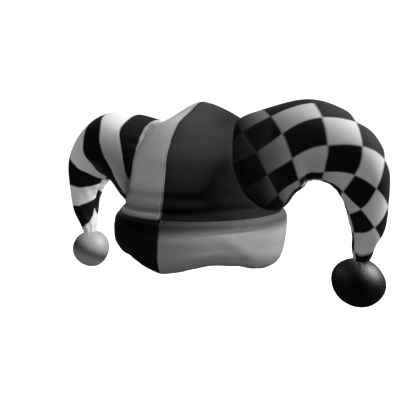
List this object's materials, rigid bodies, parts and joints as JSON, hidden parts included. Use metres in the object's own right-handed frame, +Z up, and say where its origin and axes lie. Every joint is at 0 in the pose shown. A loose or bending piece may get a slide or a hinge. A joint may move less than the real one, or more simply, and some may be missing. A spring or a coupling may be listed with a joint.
{
  "type": "jester hat",
  "caption": "Adult jester hat in black and white cloth: split-colour crown, padded wavy cuff, and stuffed striped and checked horns that arch out and down to round balls.",
  "frame": {"origin": "middle of the seam between the crown and the cuff, inside the head opening, where the hat sits on a head", "axes": "+X towards the checked horn, -Y to the front of the hat, +Z up through the tip of the crown"},
  "size_m": [0.398, 0.2126, 0.2162],
  "materials": {
    "crown_white": "soft velour, white",
    "crown_black": "soft velour, black",
    "cuff_black": "padded velour, black",
    "cuff_white": "padded velour, white",
    "horn_striped": "stuffed velour, black and white stripes",
    "horn_checked": "stuffed velour, black and white checks",
    "ball_white": "stuffed velour ball, white",
    "ball_black": "stuffed velour ball, black"
  },
  "bodies": {
    "root": {"crown_white": "crown_white", "crown_black": "crown_black", "cuff_black": "cuff_black", "cuff_white": "cuff_white", "horn_striped": "horn_striped", "horn_checked": "horn_checked", "ball_white": "ball_white", "ball_black": "ball_black"}
  },
  "joints": []
}
